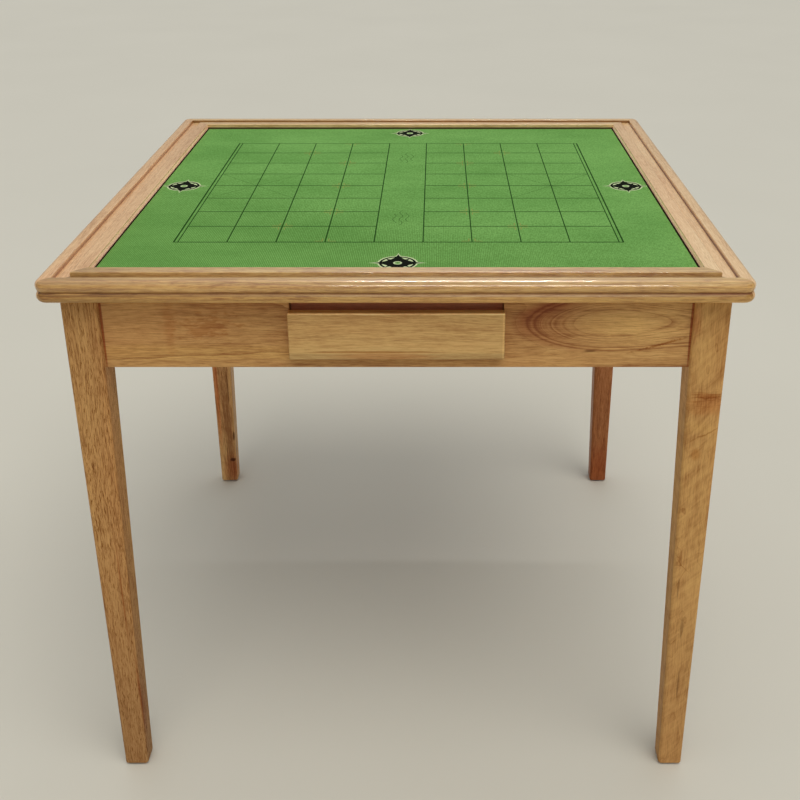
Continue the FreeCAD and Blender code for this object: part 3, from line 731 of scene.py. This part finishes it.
# Plywood and fibreboard: light and dark colour, ply thickness, and how much the veneer shows
sheetLooks = {
    "drawer_bottom": (paint(206, 172, 124), paint(150, 112, 70), 0.0013, 1.0),
    "mitre_splines": (paint(208, 178, 132), paint(142, 104, 66), 0.001, 1.0),
    "board_core": (paint(150, 120, 84), paint(104, 78, 50), 0.002, 0.0),
    "board_backing": (paint(200, 158, 110), paint(160, 112, 70), 0.0008, 1.0),
}
sheetLook = {
    "fibrePace": (500, 500, 900), "fibre": 0.9, "ply": 0.35, "roughness": (0.2, 0.8, 0.55, 0.8),
    "edgeReach": 0.38, "edgeShadeAmount": 0.85, "edgeShadeColour": paint(52, 44, 20),  # painted shade on the core's edges, down in the gap
}


def dressSheet(name, light, dark, layer, veneer):
    look = sheetLook
    material, tree, shader, place = newMaterial(name)
    wood = useGroup(tree, lacqueredWood, Vector=place, pale=light, tan=light, brown=dark,
                    ringAmount=0.4 * veneer, lateAmount=0.2 * veneer, streakAmount=0.3 + 0.6 * veneer,
                    fleckAmount=0.5)
    ply = maths(tree, "PINGPONG", maths(tree, "DIVIDE", splitVector(tree, place)["Z"], layer), 1.0)
    fibres = noise(tree, place, look["fibrePace"], detail=4.0, roughness=0.7)
    mix = maths(tree, "MULTIPLY_ADD", fromMiddle(tree, fibres), look["fibre"], times(tree, ply, look["ply"]))
    colour = mixColours(tree, maths(tree, "MAXIMUM", mix, 0.0), wood["colour"], dark)
    # painted shade on the edges that stand in the gap round the board
    shade = useGroup(tree, gapShade, Vector=place, reach=look["edgeReach"])["mask"]
    colour = mixColours(tree, times(tree, shade, look["edgeShadeAmount"]), colour, look["edgeShadeColour"])
    connect(tree, shader, Base_Color=colour, Roughness=remap(tree, fibres, *look["roughness"]),
            Normal=bumpFrom(tree, fibres, 0.3, 0.0002))
    dress(material, name)


for side in sides:
    dressSheet(f"{side}_drawer_bottom", *sheetLooks["drawer_bottom"])
for name in ("mitre_splines", "board_core", "board_backing"):
    dressSheet(name, *sheetLooks[name])
print("sheet wood dressed")

glide = {
    "dark": paint(40, 34, 28), "light": paint(74, 64, 52), "grimeScale": 160.0, "gritScale": 1800.0,
    "roughness": (0.3, 0.7, 0.42, 0.62),
}


def plateMaterial(name, light, dull):
    material, tree, shader, place = newMaterial(name)
    zinc = useGroup(tree, plate, Vector=place, light=light, dull=dull)
    connect(tree, shader, Base_Color=zinc["colour"], Roughness=zinc["roughness"],
            Normal=bumpFrom(tree, zinc["height"], 0.2, 0.0001))
    setShader(shader, Metallic=1.0)
    return material


def glideMaterial():
    material, tree, shader, place = newMaterial("glide_plastic")
    grime = noise(tree, place, scale=glide["grimeScale"], detail=5.0, roughness=0.65)
    grit = noise(tree, place, scale=glide["gritScale"])
    connect(tree, shader, Base_Color=mixColours(tree, grime, glide["dark"], glide["light"]),
            Roughness=remap(tree, grime, *glide["roughness"]), Normal=bumpFrom(tree, grit, 0.3, 0.0001))
    return material


bluishZinc = plateMaterial("zinc_steel", paint(206, 208, 208), paint(156, 158, 156))
yellowZinc = plateMaterial("screw_steel", paint(214, 200, 156), paint(166, 146, 98))
dress(bluishZinc, "hanger_bolts", "hanger_nuts", "top_clips")
dress(yellowZinc, "brace_screws", "runner_screws", "top_clip_screws")
dress(glideMaterial(), "foot_glides")
print("metal and plastic dressed")

# Felt: a printed green baize, laid on the board
baize = {
    "lightGreen": paint(121, 171, 92), "deepGreen": paint(104, 154, 78), "shadeTint": paint(196, 200, 180),
    "rib": 0.0023, "twill": 0.0024, "twillSlant": 1.4, "twillShare": 0.06, "wobble": 0.0008,
    "wobbleScale": 60.0, "threadScale": 1100.0, "napPace": (5, 9, 9), "napRange": (0.25, 0.75),
    "specklePace": (420, 190, 420), "speckleDepth": 2.4, "shade": 0.35, "threadDepth": -0.5,
    "ribDepth": 0.5,
    # the weave shows most towards the front left, where painted shade also darkens the cloth
    "cornerSlant": 1.6, "cornerRibs": (-0.1, -0.8, 0.15, 1.6), "cornerShade": (0.1, -0.8, 0, 0.35),
    "cornerRadius": 0.002, "softEdge": 0.0005, "cells": 30, "tolerance": 1e-5,
}
grid = {
    "centre": (0.0014, -0.0021, 0), "column": 0.06416, "row": 0.06525, "borderStep": 0.0054,
    "lineHalf": 0.0008, "rowHalf": 0.00112, "borderHalf": 0.0011, "endHalf": 0.00088, "faintHalf": 0.0006,
    "blur": 0.00025, "backThinner": 1.4, "frontHeavier": -0.75,
    "tickGap": 0.004, "tickEnd": 0.014, "tickHalf": 0.0006,
    "line": paint(12, 52, 6), "gilt": paint(168, 128, 70), "lineAmount": 1.05, "wornAmount": -0.25,
    "giltAmount": 0.45, "faintAmount": 0.6,
}
ripples = {
    "middles": (0.164, -0.158), "pace": 210.0, "swing": 0.0022, "apart": 0.009, "half": 0.00055,
    "taper": 1.6, "reach": 0.034, "halfWidth": 0.0135,
}
rose = {
    "ink": paint(16, 20, 12), "edging": paint(196, 208, 160), "edgingAmount": 0.9, "distance": 0.337,
    "reach": 0.033, "shortReach": 0.02376, "hollow": 0.62, "steep": 0.45, "ring": 0.0215,
    "ringHalf": 0.0016, "eye": 0.0055, "inkEdge": (-0.0002, 0.0002), "edgingEdge": (-0.0023, -0.0018),
}


def nearLine(tree, distance, half):
    return remap(tree, distance, half + grid["blur"], half - grid["blur"])


def fold(tree, value, length):
    # the distance to the nearest multiple of a length
    return times(tree, maths(tree, "PINGPONG", maths(tree, "DIVIDE", value, length), 0.5), length)


def makePrintedGrid():
    # the river chess grid: nine columns with the river in the middle, and eight rows
    tree, enter, leave = newGroup("printedGrid", {}, "lines", "faint", "gilt")
    part = splitVector(tree, vectors(tree, "ADD", enter["Vector"], grid["centre"]))
    x = maths(tree, "ABSOLUTE", part["X"])
    y = maths(tree, "ABSOLUTE", part["Y"])
    column, row, half, thick = grid["column"], grid["row"], grid["lineHalf"], grid["borderHalf"]
    halfX, halfY = 4.5 * column, 4 * row
    outerX = halfX + grid["borderStep"]
    inside = times(tree, below(tree, x, halfX + half), below(tree, y, halfY + half))
    columns = nearLine(tree, fold(tree, maths(tree, "ADD", x, column / 2), column), half)
    outsideRiver = above(tree, x, column / 2 - half)
    rows = times(tree, nearLine(tree, fold(tree, y, row), grid["rowHalf"]), outsideRiver)
    net = times(tree, either(tree, columns, rows), inside)
    # the front line is printed heavier than the back one
    weight = below(tree, part["Y"], 0.0)
    weight = maths(tree, "MULTIPLY_ADD", weight, grid["frontHeavier"], grid["backThinner"])
    ends = nearLine(tree, times(tree, apart(tree, y, halfY), weight), grid["endHalf"])
    ends = times(tree, ends, below(tree, x, outerX + thick))
    flanks = nearLine(tree, apart(tree, x, outerX), thick)
    flanks = times(tree, flanks, below(tree, y, halfY + grid["endHalf"]))
    # diagonals of the palaces at both ends
    palaceX = apart(tree, x, halfX - column)
    palace = nearLine(tree, apart(tree, times(tree, palaceX, row / column), y), grid["faintHalf"])
    palace = times(tree, palace, below(tree, y, row), below(tree, palaceX, column))
    # corner ticks round the points where the soldiers and cannons stand
    ticks = []
    for toX, toY in ((apart(tree, x, 1.5 * column), fold(tree, y, 2 * row)),
                     (apart(tree, x, 2.5 * column), apart(tree, y, 3 * row))):
        nearer = maths(tree, "MINIMUM", toX, toY)
        further = maths(tree, "MAXIMUM", toX, toY)
        stroke = nearLine(tree, apart(tree, nearer, grid["tickGap"]), grid["tickHalf"])
        ticks.append(times(tree, stroke, below(tree, further, grid["tickEnd"]),
                           above(tree, further, grid["tickGap"])))
    # ripples on the river
    waves = []
    for middle in ripples["middles"]:
        along = maths(tree, "SUBTRACT", part["Y"], middle)
        bend = maths(tree, "SINE", times(tree, along, ripples["pace"]))
        bend = maths(tree, "SUBTRACT", part["X"], times(tree, bend, ripples["swing"]))
        wave = nearLine(tree, fold(tree, bend, ripples["apart"]), ripples["half"])
        reach = maths(tree, "MULTIPLY_ADD", x, ripples["taper"], maths(tree, "ABSOLUTE", along))
        waves.append(times(tree, wave, below(tree, reach, ripples["reach"]),
                           below(tree, x, ripples["halfWidth"])))
    return sendOut(tree, leave, lines=either(tree, net, ends, flanks), faint=either(tree, palace, *waves),
                   gilt=times(tree, either(tree, *ticks), inside))


def makeWindRose():
    # a plain eight-pointed star in a ring, with its outline, round the origin
    tree, enter, leave = newGroup("windRose", {}, "ink", "edging")
    part = splitVector(tree, enter["Vector"])
    x, y = part["X"], part["Y"]
    away = vectors(tree, "LENGTH", joinVector(tree, x, y))

    def star(first, second, reach):
        # how far inside a four-pointed star with hollow sides
        first = maths(tree, "POWER", maths(tree, "ABSOLUTE", first), rose["hollow"])
        second = maths(tree, "POWER", maths(tree, "ABSOLUTE", second), rose["hollow"])
        size = maths(tree, "POWER", maths(tree, "ADD", first, second), 1 / rose["hollow"])
        return times(tree, maths(tree, "SUBTRACT", reach, size), rose["steep"])
    turned = [times(tree, maths(tree, way, x, y), math.sqrt(0.5)) for way in ("ADD", "SUBTRACT")]
    ring = maths(tree, "SUBTRACT", rose["ringHalf"], apart(tree, away, rose["ring"]))
    inside = either(tree, star(x, y, rose["reach"]), star(*turned, rose["shortReach"]), ring)
    inside = maths(tree, "MINIMUM", inside, maths(tree, "SUBTRACT", away, rose["eye"]))
    return sendOut(tree, leave, ink=remap(tree, inside, *rose["inkEdge"]),
                   edging=remap(tree, inside, *rose["edgingEdge"]))


def makeBaize():
    # ribs and twill of the weave, threads and the uneven nap of a brushed cloth
    tree, enter, leave = newGroup("baize", {}, "thread", "nap", "shade")
    place = enter["Vector"]
    part = splitVector(tree, place)
    wobble = noise(tree, place, scale=baize["wobbleScale"])

    def weave(position, pitch):
        position = maths(tree, "MULTIPLY_ADD", wobble, baize["wobble"], position)
        return maths(tree, "SINE", times(tree, position, 2 * math.pi / pitch))
    slanted = maths(tree, "MULTIPLY_ADD", part["Y"], baize["twillSlant"], part["X"])
    thread = noise(tree, place, scale=baize["threadScale"])
    thread = maths(tree, "MULTIPLY_ADD", weave(slanted, baize["twill"]), baize["twillShare"], thread)
    nap = noise(tree, place, baize["napPace"], detail=5.0, roughness=0.65)
    speckle = noise(tree, place, baize["specklePace"], detail=3.0, roughness=0.7)
    corner = maths(tree, "MULTIPLY_ADD", part["Y"], baize["cornerSlant"], part["X"])
    ribs = times(tree, weave(part["X"], baize["rib"]), remap(tree, corner, *baize["cornerRibs"]))
    shade = maths(tree, "MULTIPLY_ADD", fromMiddle(tree, speckle), baize["speckleDepth"], baize["shade"])
    shade = maths(tree, "MULTIPLY_ADD", fromMiddle(tree, thread), baize["threadDepth"], shade)
    # painted shade, deepening towards the front left
    shade = maths(tree, "ADD", shade, remap(tree, corner, *baize["cornerShade"]))
    shade = maths(tree, "MULTIPLY_ADD", ribs, baize["ribDepth"], shade, clamp=True)
    return sendOut(tree, leave, thread=thread, nap=nap, shade=shade)


def feltMaterial():
    material, tree, shader, place = newMaterial("felt")
    cloth = useGroup(tree, makeBaize(), Vector=place)
    printed = useGroup(tree, makePrintedGrid(), Vector=place)
    windRose = makeWindRose()
    nap = remap(tree, cloth["nap"], *baize["napRange"])
    colour = mixColours(tree, nap, baize["deepGreen"], baize["lightGreen"])
    colour = tinted(tree, cloth["shade"], colour, baize["shadeTint"])
    worn = maths(tree, "MULTIPLY_ADD", cloth["thread"], grid["wornAmount"], grid["lineAmount"])
    lines = maths(tree, "MULTIPLY", printed["lines"], worn, clamp=True)
    colour = mixColours(tree, times(tree, printed["gilt"], grid["giltAmount"]), colour, grid["gilt"])
    colour = mixColours(tree, times(tree, printed["faint"], grid["faintAmount"]), colour, grid["line"])
    colour = mixColours(tree, lines, colour, grid["line"])
    for way in ((1, 0, 0), (-1, 0, 0), (0, 1, 0), (0, -1, 0)):
        shift = tuple(-rose["distance"] * step for step in way)
        mark = useGroup(tree, windRose, Vector=vectors(tree, "ADD", place, shift))
        colour = mixColours(tree, times(tree, mark["edging"], rose["edgingAmount"]), colour, rose["edging"])
        colour = mixColours(tree, mark["ink"], colour, rose["ink"])
    connect(tree, shader, Base_Color=colour, Normal=bumpFrom(tree, cloth["thread"], 0.4, 0.0003))
    setShader(shader, Roughness=0.95, Specular_IOR_Level=0.02, Sheen_Weight=0.01, Sheen_Roughness=0.5)
    return material


def makeFelt():
    low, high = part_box("board_felt")
    half = (high.x - low.x) / 2
    mesh = bmesh.new()
    bmesh.ops.create_grid(mesh, x_segments=baize["cells"], y_segments=baize["cells"], size=half)
    edge = half - baize["tolerance"]
    ends = [vert for vert in mesh.verts if min(abs(vert.co.x), abs(vert.co.y)) > edge]
    bmesh.ops.bevel(mesh, geom=ends, affect="VERTICES", offset=baize["cornerRadius"], segments=4,
                    profile=0.5, material=-1)
    bmesh.ops.translate(mesh, verts=mesh.verts, vec=(0, 0, low.z))
    raised = bmesh.ops.extrude_face_region(mesh, geom=mesh.faces[:])["geom"]
    raised = [piece for piece in raised if isinstance(piece, bmesh.types.BMVert)]
    bmesh.ops.translate(mesh, verts=raised, vec=(0, 0, high.z - low.z))
    top = high.z - baize["tolerance"]
    rim = [line for line in mesh.edges if all(vert.co.z > top for vert in line.verts)
           and any(abs(face.normal.z) < 0.5 for face in line.link_faces)]
    bmesh.ops.bevel(mesh, geom=rim, affect="EDGES", offset=baize["softEdge"], segments=3, profile=0.5,
                    material=-1)
    bmesh.ops.recalc_face_normals(mesh, faces=mesh.faces)
    felt = addMesh("printed_felt", mesh, feltMaterial())
    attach(felt, "playing_board")
    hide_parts("board_felt")


makeFelt()
print("felt laid")

# Studio: a pale floor, soft light from above, and the camera
studio = {
    "floor": paint(203, 199, 185), "floorWorn": paint(197, 193, 179), "floorHalf": 16.0,
    "zenith": paint(240, 242, 244), "horizon": paint(132, 133, 132), "skyStrength": 0.9,
    "skyHeights": (0.25, 0.8),
    "sunAngle": 0.75, "sunStrength": 1.45, "sunFrom": (0.2, -0.42, 1), "sunColour": (1, 0.98, 0.95),
    # narrow ceiling lamps, seen only in the gloss: middle, length, width and watts
    "strips": {"back": ((0.17, 1.3, 2.5), 0.8, 0.05, 36.0), "front": ((0.26, -2.4, 1.74), 1.1, 0.13, 22.0)},
    "stripAim": (-0.42, 0.757), "stripColour": (1, 0.965, 0.88),  # aimed at this depth and height
}
view = {
    "place": (0.04881, -1.61141, 1.22453), "pitch": 0.397632, "sensor": 36.0, "lens": 49.212,
    "shift": (-0.04613, -0.11319),
}


def makeFloor():
    mesh = bmesh.new()
    bmesh.ops.create_grid(mesh, x_segments=8, y_segments=8, size=studio["floorHalf"])
    material, tree, shader, place = newMaterial("floor")
    cloud = noise(tree, place, scale=1.3, detail=3.0)
    connect(tree, shader, Base_Color=mixColours(tree, cloud, studio["floor"], studio["floorWorn"]))
    setShader(shader, Roughness=0.55)
    floor = addMesh("floor", mesh, material)


def makeSky():
    # bright overhead and dim towards the horizon, as under a lit ceiling
    world = bpy.data.worlds.new("studio")
    bpy.context.scene.world = world
    world.use_nodes = True
    tree = world.node_tree
    way = addNode(tree, "ShaderNodeTexCoord").outputs["Generated"]
    height = remap(tree, splitVector(tree, way)["Z"], *studio["skyHeights"])
    colour = mixColours(tree, height, studio["horizon"], studio["zenith"])
    tree.links.new(colour, tree.nodes["Background"].inputs["Color"])
    tree.nodes["Background"].inputs["Strength"].default_value = studio["skyStrength"]


def addLamp(name, kind, place, aim, **settings):
    lamp = bpy.data.lights.new(name, kind)
    for key, value in settings.items():
        setattr(lamp, key, value)
    holder = addObject(name, lamp)
    holder.location = place
    holder.rotation_euler = (Vector(aim) - Vector(place)).to_track_quat("-Z", "Y").to_euler()
    holder.visible_camera = False
    return holder


def makeLamps():
    ceiling = addLamp("ceiling", "SUN", studio["sunFrom"], (0, 0, 0), angle=studio["sunAngle"],
                      energy=studio["sunStrength"], color=studio["sunColour"])
    ceiling.visible_glossy = False
    for name, (place, length, width, watts) in studio["strips"].items():
        strip = addLamp(name, "AREA", place, (place[0], *studio["stripAim"]), shape="RECTANGLE", size=length,
                        size_y=width, energy=watts, color=studio["stripColour"])
        strip.visible_diffuse = False


def makeCamera():
    data = bpy.data.cameras.new("camera")
    data.sensor_width = view["sensor"]
    data.lens = view["lens"]
    data.shift_x, data.shift_y = view["shift"]
    camera = addObject("camera", data)
    camera.location = view["place"]
    camera.rotation_euler = (quarter - view["pitch"], 0, 0)
    bpy.context.scene.camera = camera


makeFloor()
makeSky()
makeLamps()
makeCamera()
bpy.context.scene.view_settings.view_transform = "Standard"
print("studio and camera set")
